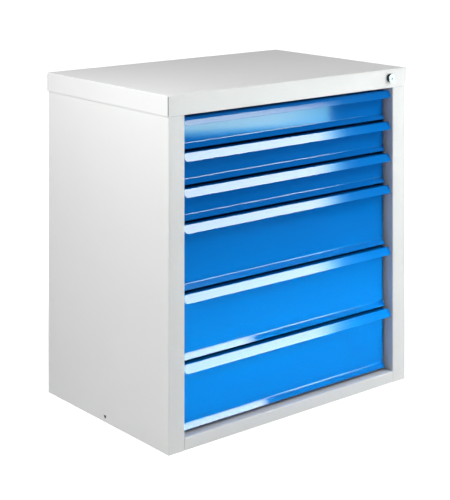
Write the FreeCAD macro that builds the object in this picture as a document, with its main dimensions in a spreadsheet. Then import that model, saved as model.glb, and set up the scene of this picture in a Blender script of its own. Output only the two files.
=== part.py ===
import FreeCAD, Part
import math
import os
import re

import Sketcher

# A sheet-steel cabinet with six drawers on telescopic slides and one central lock.
#
# Frame: +Z up, +X to the right when facing the drawers, and the drawers open towards -Y. The origin is at the
# bottom centre of the cabinet's box, which reaches from the lock's head to the cover's rear flange.
#
# Every sheet part is drawn as the path of one face of its sheet. The other face is the same path one sheet
# thickness away, and the bends are rounded after the outline is padded. Drawer 1 is at the top.

SIZES = [
    # alias, size in mm, what it is
    ("width", 760, "cabinet body, side face to side face"),
    ("depth", 500, "cabinet body, stile face to rear face"),
    ("carcass_sheet", 1.5, "sheet of the sides, back, base and posts"),
    ("carcass_bend", 1.0, "inner radius of the carcass bends"),
    ("stile_width", 45, "front face of each side panel"),
    ("stile_return", 34, "depth of the side panel's fold behind the stile face"),
    ("rear_return", 30, "width of the side panel's fold along the rear"),
    ("seam_gap", 0.3, "open seam between two carcass parts"),
    ("side_hole_radius", 4.25, "anchor hole in each side"),
    ("side_hole_height", 13, "height of the anchor hole above the floor"),
    ("sill_height", 28.5, "height of the rail under the lowest drawer"),
    ("sill_return", 20, "fold of the base along the floor"),
    ("cover_sheet", 1.5, "sheet of the top cover"),
    ("cover_flange", 47, "height of the top cover's folded edge"),
    ("cover_fit", 0.5, "gap between the cover's folded edge and the body"),
    ("cover_bend", 1.6, "outer radius along the cover's top edges"),
    ("cover_seam", 0.8, "open seam at each corner of the cover"),
    ("rail_depth", 30, "depth of the rail behind the cover's front edge"),
    ("post_sheet", 2.0, "sheet of the four slide posts"),
    ("post_depth", 60, "web of a slide post, front to back"),
    ("post_flange", 18, "outward folds of a slide post"),
    ("small_front", 73.5, "front height of drawers 1 to 3"),
    ("large_front", 150, "front height of drawers 4 to 6"),
    ("drawer_gap", 7.5, "gap between two drawer fronts"),
    ("sill_gap", 8, "gap between the lowest front and the sill"),
    ("top_gap", 8.5, "gap between the highest front and the opening's top"),
    ("front_sheet", 1.2, "sheet of the drawer fronts"),
    ("front_bend", 0.8, "inner radius of the bends of a drawer front"),
    ("lip_setback", 1, "lip edge behind the stile face"),
    ("lip_run", 12, "how far the lip slopes forward"),
    ("lip_drop", 17.5, "how far the lip slopes down"),
    ("lip_side_gap", 3, "gap from each end of the lip to the stile"),
    ("lip_corner", 9, "radius of the lip's lower corners"),
    ("ledge_run", 13, "flat top of a front, ahead of its panel"),
    ("ledge_end", 2, "part of the ledge that is as wide as the lip"),
    ("flange_run", 9, "how far the lower flange slopes forward"),
    ("flange_drop", 11, "how far the lower flange slopes down"),
    ("side_fold", 7, "fold behind each side edge of a front"),
    ("tray_sheet", 1.0, "sheet of the drawer trays"),
    ("tray_bend", 0.8, "inner radius of the tray bends"),
    ("tray_rim", 7, "rim folded inwards along the tray's sides"),
    ("tray_top_drop", 6, "tray rim below the top of its front"),
    ("slide_thickness", 12.7, "slide from the post to the tray side"),
    ("slide_height", 35, "outer member of a slide"),
    ("slide_sheet", 1.2, "sheet of the slide members"),
    ("slide_bend", 0.9, "bevel along the bends of the slide members"),
    ("slide_lip", 3.0, "lips along the outer member's open side"),
    ("slide_play", 0.6, "gap between the webs of two slide members"),
    ("ball_race", 3.2, "gap for the balls between two slide members"),
    ("slide_front_gap", 2, "slide behind the stile's return"),
    ("slide_rear_room", 14, "slide ahead of the rear face"),
    ("slide_rise", 4, "slide above the tray floor"),
    ("member_short", 10, "how much shorter the middle member is"),
    ("hook_inset", 6, "slide hook from the post's edge"),
    ("hook_width", 3, "slide hook along the slide"),
    ("hook_height", 8, "slide hook through the post"),
    ("hook_drop", 5, "slide hook below its slot, behind the post"),
    ("hook_play", 0.5, "room round a slide hook in its slot"),
    ("lock_inset", 13, "lock axis from the inner edge of the right stile"),
    ("lock_drop", 22, "lock axis below the top"),
    ("lock_stand", 8, "lock head proud of the cover's front edge"),
    ("lock_head_radius", 11, "head of the lock housing"),
    ("lock_barrel_radius", 9.3, "barrel of the lock housing"),
    ("lock_barrel_tail", 3, "barrel behind the rail"),
    ("lock_hole_play", 0.2, "hole radius more than barrel radius"),
    ("lock_nut_radius", 13.5, "lock nut, centre to corner"),
    ("lock_nut_height", 5, "lock nut along the barrel"),
    ("plug_radius", 6, "turning plug of the lock"),
    ("plug_play", 0.05, "running clearance of the plug"),
    ("plug_tail", 1, "plug behind the barrel"),
    ("key_slot_width", 1.8, "slot for the key"),
    ("key_slot_length", 8, "slot for the key"),
    ("key_slot_depth", 6, "slot for the key"),
    ("cam_sheet", 3, "plate of the lock cam"),
    ("cam_radius", 6.4, "cam pin from the lock axis"),
    ("cam_rim", 4, "cam plate round its pin and plug"),
    ("cam_pin_radius", 2.5, "pin of the lock cam"),
    ("cam_pin_play", 0.45, "bar slot round the cam pin"),
    ("cam_screw_radius", 3.4, "head of the screw that holds the cam"),
    ("cam_screw_head", 2.6, "head of the screw that holds the cam"),
    ("bar_setback", 1, "lock bar behind the cam screw's head"),
    ("bar_sheet", 3, "plate of the lock bar"),
    ("bar_width", 16, "upright of the lock bar"),
    ("bar_play", 0.6, "gap round the lock bar in its guides and slots"),
    ("bar_foot", 12, "lock bar below its lowest tongue"),
    ("arm_rim", 4, "arm of the lock bar round the cam slot"),
    ("tongue_height", 6, "tongue of the lock bar"),
    ("tongue_rise", 2, "resting tongue above the slide"),
    ("tongue_end", 2.5, "tongue's end beside the tray"),
    ("catch_rise", 2, "tray catch above a resting tongue"),
    ("catch_gap", 0.6, "tray catch behind the tongue"),
    ("catch_sheet", 1.5, "plate of a tray catch"),
    ("catch_reach", 9, "tray catch beside the tray"),
    ("catch_height", 5.5, "tray catch, up the tray's side"),
    ("catch_foot", 12, "tray catch along the tray's side"),
    ("guide_sheet", 1.2, "strip of a bar guide"),
    ("guide_foot", 8, "foot of a bar guide on the post"),
    ("guide_height", 15, "bar guide along the bar"),
    ("guide_low", 90, "lowest bar guide above the floor"),
    ("guide_high", 110, "highest bar guide below the opening's top"),
]

# Places that follow from the sizes, each as a formula of sizes and of other places.
PLACES = {
    "half_width": "width / 2",
    "front_y": "-(depth - lock_stand) / 2",
    "back_y": "front_y + depth",
    "stile_inner": "half_width - stile_width",
    "post_face": "stile_inner + carcass_sheet",
    "inner_back_y": "back_y - 2 * carcass_sheet",
    "panel_y": "front_y + lip_setback + lip_run + ledge_run",
    "tray_half": "post_face - slide_thickness",
    "panel_half": "tray_half + front_sheet",
    "lip_half": "stile_inner - lip_side_gap",
    "slide_front": "front_y + stile_return + slide_front_gap",
    "slide_rear": "back_y - slide_rear_room",
    "base_6": "sill_height + sill_gap",
    "opening_top": "ledge_1 + top_gap",
    "height": "opening_top + cover_flange",
    "cover_side": "half_width + cover_fit + cover_sheet",
    "cover_front": "front_y - cover_fit - cover_sheet",
    "cover_back": "back_y + cover_fit + cover_sheet",
    "under_cover": "height - cover_sheet",
    "rail_half": "stile_inner - seam_gap",
    "lock_x": "stile_inner - lock_inset",
    "lock_z": "height - lock_drop",
    "barrel_end": "front_y + rail_depth + lock_barrel_tail",
    "cam_y": "barrel_end + plug_tail",
    "bar_y": "cam_y + cam_sheet + cam_screw_head + bar_setback",
    "bar_x": "post_face + post_sheet + bar_play",
    "bar_lift": "2 * cam_radius * sin(45 deg)",
    "pin_x": "lock_x + cam_radius * cos(45 deg)",
    "pin_z": "lock_z - cam_radius * sin(45 deg)",
}

FRONTS = ["small_front"] * 3 + ["large_front"] * 3
for number in range(6, 0, -1):
    # base_N is the lower edge of front N, ledge_N its top, floor_N the underside of tray N.
    if number < 6:
        PLACES[f"base_{number}"] = f"ledge_{number + 1} + drawer_gap"
    PLACES[f"ledge_{number}"] = f"base_{number} + {FRONTS[number - 1]}"
    PLACES[f"floor_{number}"] = f"base_{number} + flange_drop"
    PLACES[f"rim_{number}"] = f"ledge_{number} - tray_top_drop"
    PLACES[f"slide_{number}"] = f"floor_{number} + slide_rise + slide_height / 2"
    PLACES[f"tongue_{number}"] = f"floor_{number} + slide_rise + slide_height + tongue_rise"

doc = FreeCAD.newDocument("drawer_cabinet")
sheet = doc.addObject("Spreadsheet::Sheet", "Sizes")
for row, (alias, size, meaning) in enumerate(SIZES, start=1):
    sheet.set(f"A{row}", alias)
    sheet.set(f"B{row}", str(size))
    sheet.setAlias(f"B{row}", alias)
    sheet.set(f"C{row}", meaning)
doc.recompute()
ALIASES = {alias for alias, _, _ in SIZES}
PARTS = []


def formula(text):
    """The sheet expression for a text of named sizes and places."""

    def expand(match):
        name = match.group(0)
        if name in PLACES:
            return f"({formula(PLACES[name])})"
        return f"Sizes.{name}" if name in ALIASES else name

    return re.sub(r"[a-z][a-z_0-9]*", expand, text)


def value(text):
    """The number that a formula gives now."""
    return float(sheet.evalExpression(formula(text)))


# ---------------------------------------------------------------- drawing helpers

# Each origin plane with the sign that turns a place along its axis into an offset along its normal.
PLANES = {"XY": ("XY_Plane", 1), "XZ": ("XZ_Plane", -1), "YZ": ("YZ_Plane", 1)}


def new_part(label, is_node=True):
    """An empty body. A node's label is the name of its file."""
    body = doc.addObject("PartDesign::Body", label)
    body.Label = label
    body.AllowCompound = True
    if is_node:
        PARTS.append(body)
    return body


def new_sketch(body, plane, at):
    """An empty sketch parallel to an origin plane, at a place along that plane's axis."""
    sketch = body.newObject("Sketcher::SketchObject", "Sketch")
    role, sign = PLANES[plane]
    origin_plane = next(feature for feature in body.Origin.OriginFeatures if feature.Role == role)
    sketch.AttachmentSupport = [(origin_plane, "")]
    sketch.MapMode = "FlatFace"
    sketch.setExpression("AttachmentOffset.Base.z", formula(f"{sign} * ({at})"))
    return sketch


def constrain(sketch, constraints, bound):
    """Adds constraints, then binds those of the (constraint, formula) pairs in bound to the sheet."""
    first = len(sketch.Constraints)
    sketch.addConstraint(constraints + [constraint for constraint, _ in bound])
    for index, (_, text) in enumerate(bound, start=first + len(constraints)):
        sketch.setExpression(f"Constraints[{index}]", formula(text))


def place(line, end, point):
    """The two constraints that hold one end of a line at a point given by two formulas."""
    return [
        (Sketcher.Constraint("DistanceX", -1, 1, line, end, value(point[0])), point[0]),
        (Sketcher.Constraint("DistanceY", -1, 1, line, end, value(point[1])), point[1]),
    ]


def joined(first, count):
    """The constraints that close a ring of lines, each line's end on the next line's start."""
    ring = range(count)
    return [Sketcher.Constraint("Coincident", first + i, 2, first + (i + 1) % count, 1) for i in ring]


def draw_loop(sketch, corners):
    """A closed outline of straight lines through corners given by formulas."""
    first = len(sketch.Geometry)
    points = [FreeCAD.Vector(value(x), value(y), 0) for x, y in corners]
    count = len(points)
    sketch.addGeometry([Part.LineSegment(points[i], points[(i + 1) % count]) for i in range(count)], False)
    bound = []
    for i, corner in enumerate(corners):
        bound += place(first + i, 1, corner)
    constrain(sketch, joined(first, count), bound)


def box_corners(low, high):
    """The corners of the rectangle between two opposite corners."""
    return [low, (high[0], low[1]), high, (low[0], high[1])]


def draw_circle(sketch, centre, radius):
    """A circle whose centre and radius are formulas."""
    index = len(sketch.Geometry)
    middle = FreeCAD.Vector(value(centre[0]), value(centre[1]), 0)
    sketch.addGeometry(Part.Circle(middle, FreeCAD.Vector(0, 0, 1), value(radius)), False)
    bound = place(index, 3, centre)
    bound.append((Sketcher.Constraint("Radius", index, value(radius)), radius))
    constrain(sketch, [], bound)


def draw_strip(sketch, path, thickness, side):
    """The section of a folded sheet.

    path holds the corners of one face. The other face runs parallel to it, one thickness to the left of the
    path's direction where side is 1 and to the right where it is -1. Returns the bends as two lists of
    points: those on the inside of a bend and those on its outside.
    """
    first = len(sketch.Geometry)
    near = [FreeCAD.Vector(value(x), value(y), 0) for x, y in path]
    count = len(near)
    gap = value(thickness) * side
    directions = [(near[i + 1] - near[i]).normalize() for i in range(count - 1)]
    normals = [FreeCAD.Vector(-d.y, d.x, 0) for d in directions]
    far = [near[0] + normals[0] * gap]
    inside = []
    outside = []
    for i in range(1, count - 1):
        bisector = normals[i - 1] + normals[i]
        corner = near[i] + bisector * (gap / (1 + normals[i - 1].dot(normals[i])))
        far.append(corner)
        turn = directions[i - 1].cross(directions[i]).z * side
        inside.append(corner if turn > 0 else near[i])
        outside.append(near[i] if turn > 0 else corner)
    far.append(near[-1] + normals[-1] * gap)
    ring = near + far[::-1]
    total = len(ring)
    sketch.addGeometry([Part.LineSegment(ring[i], ring[(i + 1) % total]) for i in range(total)], False)
    fixed = joined(first, total)
    bound = []
    for i, corner in enumerate(path[:-1]):
        bound += place(first + i, 1, corner)
    bound += place(first + count - 2, 2, path[-1])
    for i in range(count - 1):
        # Line i of the near face lies opposite line (total - 2 - i) of the far face.
        twin = first + total - 2 - i
        fixed.append(Sketcher.Constraint("Parallel", first + i, twin))
        bound.append((Sketcher.Constraint("Distance", twin, 1, first + i, abs(gap)), thickness))
    fixed.append(Sketcher.Constraint("Perpendicular", first, first + total - 1))
    fixed.append(Sketcher.Constraint("Perpendicular", first + count - 2, first + count - 1))
    constrain(sketch, fixed, bound)
    return inside, outside


def pad(body, sketch, length):
    """Pads a sketch towards the positive end of its plane's axis."""
    feature = body.newObject("PartDesign::Pad", "Pad")
    feature.Profile = sketch
    feature.Reversed = sketch.AttachmentSupport[0][0].Role == "XZ_Plane"
    feature.setExpression("Length", formula(length))
    return feature


def pocket(body, sketch, length):
    """Cuts a sketch out of the body towards the positive end of its plane's axis."""
    feature = body.newObject("PartDesign::Pocket", "Pocket")
    feature.Profile = sketch
    feature.Reversed = sketch.AttachmentSupport[0][0].Role != "XZ_Plane"
    feature.setExpression("Length", formula(length))
    return feature


def pad_loops(body, plane, at, length, *loops):
    """Pads closed outlines, all in one sketch."""
    sketch = new_sketch(body, plane, at)
    for loop in loops:
        draw_loop(sketch, loop)
    return pad(body, sketch, length)


def cut_loops(body, plane, at, length, *loops):
    """Cuts closed outlines, all in one sketch, out of the body."""
    sketch = new_sketch(body, plane, at)
    for loop in loops:
        draw_loop(sketch, loop)
    return pocket(body, sketch, length)


def pad_circles(body, plane, at, length, centres, radius):
    """Pads circles of one radius, all in one sketch."""
    sketch = new_sketch(body, plane, at)
    for centre in centres:
        draw_circle(sketch, centre, radius)
    return pad(body, sketch, length)


def cut_circles(body, plane, at, length, centres, radius):
    """Cuts round holes of one radius, all in one sketch, out of the body."""
    sketch = new_sketch(body, plane, at)
    for centre in centres:
        draw_circle(sketch, centre, radius)
    return pocket(body, sketch, length)


def round_edges(body, radius, test):
    """Rounds those edges of the body for which test(edge) is true."""
    doc.recompute()
    base = body.Tip
    names = [f"Edge{i}" for i, edge in enumerate(base.Shape.Edges, start=1) if test(edge)]
    if not names:
        raise RuntimeError(f"{body.Label}: no edge to round")
    feature = body.newObject("PartDesign::Fillet", "Fillet")
    feature.Base = (base, names)
    feature.setExpression("Radius", formula(radius))
    return feature


def bevel_edges(body, size, test):
    """Bevels those edges of the body for which test(edge) is true."""
    doc.recompute()
    base = body.Tip
    names = [f"Edge{i}" for i, edge in enumerate(base.Shape.Edges, start=1) if test(edge)]
    if not names:
        raise RuntimeError(f"{body.Label}: no edge to bevel")
    feature = body.newObject("PartDesign::Chamfer", "Chamfer")
    feature.Base = (base, names)
    feature.setExpression("Size", formula(size))
    return feature


def runs_through(edge, points, plane):
    """True for a straight edge that stands on a sketch plane at one of the sketch's points."""
    if edge.Curve.TypeId != "Part::GeomLine" or len(edge.Vertexes) < 2:
        return False
    start = edge.Vertexes[0].Point
    end = edge.Vertexes[1].Point
    axes = {"XY": ("x", "y"), "XZ": ("x", "z"), "YZ": ("y", "z")}[plane]
    for point in points:
        target = (point.x, point.y)
        if all(abs(getattr(v, axis) - t) < 1e-4 for v in (start, end) for axis, t in zip(axes, target)):
            return True
    return False


def folded(body, plane, at, length, paths, thickness, bend, side, crisp=False):
    """Pads one or more folded sheet sections and rounds their bends, or only bevels them outside if crisp."""
    sketch = new_sketch(body, plane, at)
    inside = []
    outside = []
    for path in paths:
        near, far = draw_strip(sketch, path, thickness, side)
        inside += near
        outside += far
    feature = pad(body, sketch, length)
    if crisp:
        bevel_edges(body, bend, lambda edge: runs_through(edge, outside, plane))
        return feature
    round_edges(body, bend, lambda edge: runs_through(edge, inside, plane))
    round_edges(body, f"{bend} + {thickness}", lambda edge: runs_through(edge, outside, plane))
    return feature


def across(side, low, high):
    """Start and length of the stretch from low to high on the right, or its mirror image on the left."""
    start = low if side > 0 else f"-({high})"
    return start, f"({high}) - ({low})"


def mirrored(side, points):
    """Points for the right, or their mirror image for the left."""
    return [(f"{side} * ({x})", y) for x, y in points]


SIDES = {"left": -1, "right": 1}
NUMBERS = range(1, 7)
HOLE_CLEAR = "2"
LOCK_AXIS = ("lock_x", "lock_z")
LOCK_HOLE = "lock_barrel_radius + lock_hole_play"
FRONT_POST_Y = "front_y + carcass_sheet"
REAR_POST_Y = "inner_back_y - post_depth"


# ---------------------------------------------------------------- carcass


def side_panel(name):
    """One sheet folded into the side, the stile with its return, and the fold along the rear."""
    side = SIDES[name]
    body = new_part(f"{name}_side_panel")
    path = [
        ("stile_inner", "front_y + stile_return"),
        ("stile_inner", "front_y"),
        ("half_width", "front_y"),
        ("half_width", "back_y"),
        ("half_width - rear_return", "back_y"),
    ]
    folded(body, "XY", "0", "under_cover", [mirrored(side, path)], "carcass_sheet", "carcass_bend", side)
    start, length = across(side, f"half_width - carcass_sheet - {HOLE_CLEAR}", f"half_width + {HOLE_CLEAR}")
    middle = ("front_y + depth / 2", "side_hole_height")
    cut_circles(body, "YZ", start, length, [middle], "side_hole_radius")


def back_panel():
    """The flat back, inside the rear folds of the side panels."""
    body = new_part("back_panel")
    edge = "half_width - carcass_sheet - carcass_bend"
    corners = box_corners((f"-({edge})", "0"), (edge, "under_cover"))
    pad_loops(body, "XZ", "inner_back_y", "carcass_sheet", corners)


def base_pan():
    """The cabinet's floor. Its front fold is the sill, and it reaches the side panels between the posts."""
    body = new_part("base_pan")
    path = [
        ("inner_back_y - sill_return", "0"),
        ("inner_back_y", "0"),
        ("inner_back_y", "sill_height"),
        ("front_y", "sill_height"),
        ("front_y", "0"),
        ("front_y + sill_return", "0"),
    ]
    folded(body, "YZ", "-rail_half", "2 * rail_half", [path], "carcass_sheet", "carcass_bend", 1)
    wings = []
    for side in (-1, 1):
        near = (f"{side} * (rail_half - 1)", f"{FRONT_POST_Y} + post_depth + seam_gap")
        far = (f"{side} * (half_width - carcass_sheet - seam_gap)", f"{REAR_POST_Y} - seam_gap")
        wings.append(box_corners(near, far))
    pad_loops(body, "XY", "sill_height - carcass_sheet", "carcass_sheet", *wings)


def top_cover():
    """A shallow lid with a folded edge all round and an open seam at each corner."""
    body = new_part("top_cover")
    outer = box_corners(("-cover_side", "cover_front"), ("cover_side", "cover_back"))
    pad_loops(body, "XY", "height - cover_flange", "cover_flange", outer)
    inner_side = "(cover_side - cover_sheet)"
    inner_front = "cover_front + cover_sheet"
    inner_back = "cover_back - cover_sheet"
    inner = box_corners((f"-{inner_side}", inner_front), (inner_side, inner_back))
    cut_loops(body, "XY", "height - cover_flange", "cover_flange - cover_sheet", inner)
    seams = []
    for side in (-1, 1):
        front_seam = (inner_front, f"{inner_front} + cover_seam")
        back_seam = (f"{inner_back} - cover_seam", inner_back)
        for low, high in (front_seam, back_seam):
            near = f"{side} * ({inner_side} - 1)"
            far = f"{side} * (cover_side + 1)"
            seams.append(box_corners((near, low), (far, high)))
    cut_loops(body, "XY", "height - cover_flange", "cover_flange - 2 * cover_sheet", *seams)
    cut_circles(body, "XZ", "cover_front - 1", "cover_sheet + 2", [LOCK_AXIS], LOCK_HOLE)
    top = value("height")

    def on_top_rim(edge):
        return all(abs(vertex.Point.z - top) < 1e-4 for vertex in edge.Vertexes)

    round_edges(body, "cover_bend", on_top_rim)


def top_front_rail():
    """The rail between the side panels, behind the cover's front edge. It carries the lock."""
    body = new_part("top_front_rail")
    path = [
        ("front_y + rail_depth", "opening_top"),
        ("front_y", "opening_top"),
        ("front_y", "under_cover"),
        ("front_y + rail_depth", "under_cover"),
    ]
    folded(body, "YZ", "-rail_half", "2 * rail_half", [path], "carcass_sheet", "carcass_bend", -1)
    cut_circles(body, "XZ", "front_y - 1", "carcass_sheet + 2", [LOCK_AXIS], LOCK_HOLE)


HOOKS = {"front": f"{FRONT_POST_Y} + post_depth - hook_inset", "rear": f"{REAR_POST_Y} + hook_inset"}


def slide_post(name, end):
    """An upright channel, open towards the side panel, with slots for slide hooks and lock tongues."""
    side = SIDES[name]
    front = {"front": FRONT_POST_Y, "rear": REAR_POST_Y}[end]
    body = new_part(f"{name}_{end}_post")
    path = [
        ("post_face + post_flange", front),
        ("post_face", front),
        ("post_face", f"{front} + post_depth"),
        ("post_face + post_flange", f"{front} + post_depth"),
    ]
    folded(body, "XY", "0", "opening_top", [mirrored(side, path)], "post_sheet", "carcass_bend", -side)
    start, length = across(side, "post_face - 1", "post_face + post_sheet + 1")
    slots = []
    for number in NUMBERS:
        low = (f"{HOOKS[end]} - hook_play", f"slide_{number} - hook_height / 2 - hook_drop - hook_play")
        high = (f"{HOOKS[end]} + hook_width + hook_play", f"slide_{number} + hook_height / 2 + hook_play")
        slots.append(box_corners(low, high))
        if end == "front":
            low = ("bar_y - bar_play", f"tongue_{number} - bar_play")
            high = ("bar_y + bar_sheet + bar_play", f"tongue_{number} + tongue_height + bar_lift + bar_play")
            slots.append(box_corners(low, high))
    cut_loops(body, "YZ", start, length, *slots)


# ---------------------------------------------------------------- slides


def slide_loops(number, points):
    """A slide outline on the right and its mirror image on the left.

    Each point is first the distance from the post's face inwards, then the height above the slide's middle.
    The mirror image runs backwards, so that a sheet's other face stays on the same side of its path.
    """
    right = [(f"post_face - ({u})", f"slide_{number} + ({v})") for u, v in points]
    return [right, mirrored(-1, right)[::-1]]


def slide_member(body, start, length, paths, side):
    """Pads the channel sections of one slide member, front to back, and bevels their bends."""
    folded(body, "XZ", start, length, paths, "slide_sheet", "slide_bend", side, True)


def outer_slides(number):
    """The fixed members of a drawer's two slides, with the hooks that hang them in the posts."""
    body = new_part(f"drawer_{number}_outer_slides")
    deep = "slide_thickness - slide_play"
    top = "slide_height / 2"
    section = [
        (deep, f"{top} - slide_lip"),
        (deep, top),
        ("0", top),
        ("0", f"-{top}"),
        (deep, f"-{top}"),
        (deep, f"-({top} - slide_lip)"),
    ]
    paths = slide_loops(number, section)
    slide_member(body, "slide_front", "slide_rear - slide_front", paths, -1)
    behind = "-(post_sheet + hook_play)"
    hook = [
        ("0", "-hook_height / 2"),
        (behind, "-hook_height / 2"),
        (behind, "-hook_height / 2 - hook_drop + hook_play"),
        (f"{behind} - slide_sheet", "-hook_height / 2 - hook_drop + hook_play"),
        (f"{behind} - slide_sheet", "hook_height / 2"),
        ("0", "hook_height / 2"),
    ]
    for start in HOOKS.values():
        pad_loops(body, "XZ", start, "hook_width", *slide_loops(number, hook))


MIDDLE_TOP = "(slide_height / 2 - slide_sheet - ball_race)"
INNER_TOP = f"({MIDDLE_TOP} - slide_sheet - ball_race)"


def middle_slides(number):
    """The members between the fixed ones and the tray's. They open towards the tray."""
    body = new_part(f"drawer_{number}_middle_slides")
    web = "slide_sheet + slide_play"
    edge = "slide_thickness - slide_sheet - slide_play"
    section = [(edge, MIDDLE_TOP), (web, MIDDLE_TOP), (web, f"-{MIDDLE_TOP}"), (edge, f"-{MIDDLE_TOP}")]
    paths = slide_loops(number, section)
    length = "slide_rear - slide_front - member_short"
    slide_member(body, "slide_front + member_short / 2", length, paths, -1)


def inner_slides(number):
    """The members on the tray's sides. They open towards the posts."""
    body = new_part(f"drawer_{number}_inner_slides")
    edge = "2 * slide_sheet + 2 * slide_play"
    section = [
        (edge, INNER_TOP),
        ("slide_thickness", INNER_TOP),
        ("slide_thickness", f"-{INNER_TOP}"),
        (edge, f"-{INNER_TOP}"),
    ]
    paths = slide_loops(number, section)
    slide_member(body, "slide_front", "slide_rear - slide_front", paths, 1)


# ---------------------------------------------------------------- drawers


def drawer_tray(number):
    """A tray folded from one sheet, with rims turned inwards and a rear wall."""
    body = new_part(f"drawer_{number}_tray")
    floor = f"floor_{number}"
    rim = f"rim_{number}"
    path = [
        ("tray_half - tray_rim", rim),
        ("tray_half", rim),
        ("tray_half", floor),
        ("-tray_half", floor),
        ("-tray_half", rim),
        ("-(tray_half - tray_rim)", rim),
    ]
    start = "panel_y + front_sheet"
    folded(body, "XZ", start, f"slide_rear - ({start})", [path], "tray_sheet", "tray_bend", -1)
    wall = box_corners(
        ("-(tray_half - tray_sheet / 2)", f"{floor} + tray_sheet / 2"), ("tray_half - tray_sheet / 2", rim)
    )
    pad_loops(body, "XZ", "slide_rear - tray_sheet", "tray_sheet", wall)


def lock_catch(number):
    """An angle on the tray's right side. The raised tongue of the lock bar stands in front of it."""
    body = new_part(f"drawer_{number}_catch")
    front = "bar_y + bar_sheet + catch_gap"
    low = f"tongue_{number} + tongue_height + catch_rise"
    path = [("tray_half + catch_reach", front), ("tray_half", front), ("tray_half", f"{front} + catch_foot")]
    folded(body, "XY", low, "catch_height", [path], "catch_sheet", "catch_sheet / 2", -1, True)


def drawer_front(number):
    """A front folded from one sheet: a sloping lip to grip, a flat ledge, the panel and a lower flange."""
    body = new_part(f"drawer_{number}_front")
    ledge = f"ledge_{number}"
    base = f"base_{number}"
    panel_back = "panel_y + front_sheet"
    path = [
        ("front_y + lip_setback", f"{ledge} - lip_drop"),
        ("panel_y - ledge_run", ledge),
        (panel_back, ledge),
        (panel_back, f"{base} + flange_drop"),
        (f"{panel_back} - flange_run", base),
    ]
    folded(body, "YZ", "-lip_half", "2 * lip_half", [path], "front_sheet", "front_bend", -1)
    notches = []
    for side in (-1, 1):
        near = (f"{side} * panel_half", "panel_y - ledge_run + ledge_end")
        far = (f"{side} * (lip_half + 1)", "panel_y + 5")
        notches.append(box_corners(near, far))
    cut_loops(body, "XY", f"{base} - 1", f"{ledge} - ({base}) + 2", *notches)
    low = f"{base} + flange_drop + front_bend + front_sheet"
    high = f"{ledge} - front_sheet - front_bend"
    fold = box_corners((panel_back, low), (f"{panel_back} + side_fold", high))
    for side in (-1, 1):
        start, length = across(side, "panel_half - front_sheet", "panel_half")
        pad_loops(body, "YZ", start, length, fold)
    end = value("lip_half")
    edge_y = value("front_y + lip_setback")
    edge_z = value(f"{ledge} - lip_drop")
    reach = value("2 * front_sheet")

    def on_lip_corner(edge):
        ends = [vertex.Point for vertex in edge.Vertexes]
        at_end = abs(abs(sum(point.x for point in ends)) - 2 * end) < 1e-4
        near_edge = all(math.hypot(point.y - edge_y, point.z - edge_z) < reach for point in ends)
        return at_end and near_edge

    round_edges(body, "lip_corner", on_lip_corner)


# ---------------------------------------------------------------- lock


def lock_housing():
    """The barrel of the lock: a thick head in front of the cover, and a bore for the plug."""
    body = new_part("lock_housing")
    centre = LOCK_AXIS
    pad_circles(body, "XZ", "cover_front", "barrel_end - (cover_front)", [centre], "lock_barrel_radius")
    pad_circles(body, "XZ", "cover_front - lock_stand", "lock_stand", [centre], "lock_head_radius")
    start = "cover_front - lock_stand - 1"
    cut_circles(body, "XZ", start, f"barrel_end - ({start}) + 1", [centre], "plug_radius + plug_play")
    front = value("cover_front - lock_stand")
    radius = value("lock_head_radius")

    def on_head_rim(edge):
        if edge.Curve.TypeId != "Part::GeomCircle":
            return False
        return abs(edge.Curve.Center.y - front) < 1e-4 and abs(edge.Curve.Radius - radius) < 1e-4

    bevel_edges(body, "lock_stand / 8", on_head_rim)


def hexagon(centre, radius):
    """The corners of a hexagon round a centre, with one corner at the top, as formulas."""
    corners = []
    for corner in range(6):
        x = f"{centre[0]} + {radius} * cos({60 * corner + 30} deg)"
        z = f"{centre[1]} + {radius} * sin({60 * corner + 30} deg)"
        corners.append((x, z))
    return corners


def lock_nut():
    """The nut that clamps the lock against the rail."""
    body = new_part("lock_nut")
    start = "front_y + carcass_sheet"
    corners = hexagon(LOCK_AXIS, "lock_nut_radius")
    pad_loops(body, "XZ", start, "lock_nut_height", corners)
    cut_circles(body, "XZ", f"{start} - 1", "lock_nut_height + 2", [LOCK_AXIS], LOCK_HOLE)


def lock_plug():
    """The turning plug with its key slot."""
    body = new_part("lock_plug")
    front = "cover_front - lock_stand"
    centre = LOCK_AXIS
    pad_circles(body, "XZ", front, f"cam_y - ({front})", [centre], "plug_radius")
    slot = box_corners(
        ("lock_x - key_slot_width / 2", "lock_z - key_slot_length / 2"),
        ("lock_x + key_slot_width / 2", "lock_z + key_slot_length / 2"),
    )
    cut_loops(body, "XZ", f"{front} - 1", "key_slot_depth + 1", slot)


def lock_cam():
    """A round plate on the plug's end, with the pin that lifts the lock bar."""
    body = new_part("lock_cam")
    pad_circles(body, "XZ", "cam_y", "cam_sheet", [LOCK_AXIS], "cam_radius + cam_rim")
    pin = [("pin_x", "pin_z")]
    length = "bar_y + bar_sheet + 1 - (cam_y + cam_sheet)"
    pad_circles(body, "XZ", "cam_y + cam_sheet", length, pin, "cam_pin_radius")


def cam_screw():
    """The screw that holds the cam on the plug."""
    body = new_part("cam_screw")
    pad_circles(body, "XZ", "cam_y + cam_sheet", "cam_screw_head", [LOCK_AXIS], "cam_screw_radius")


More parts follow.
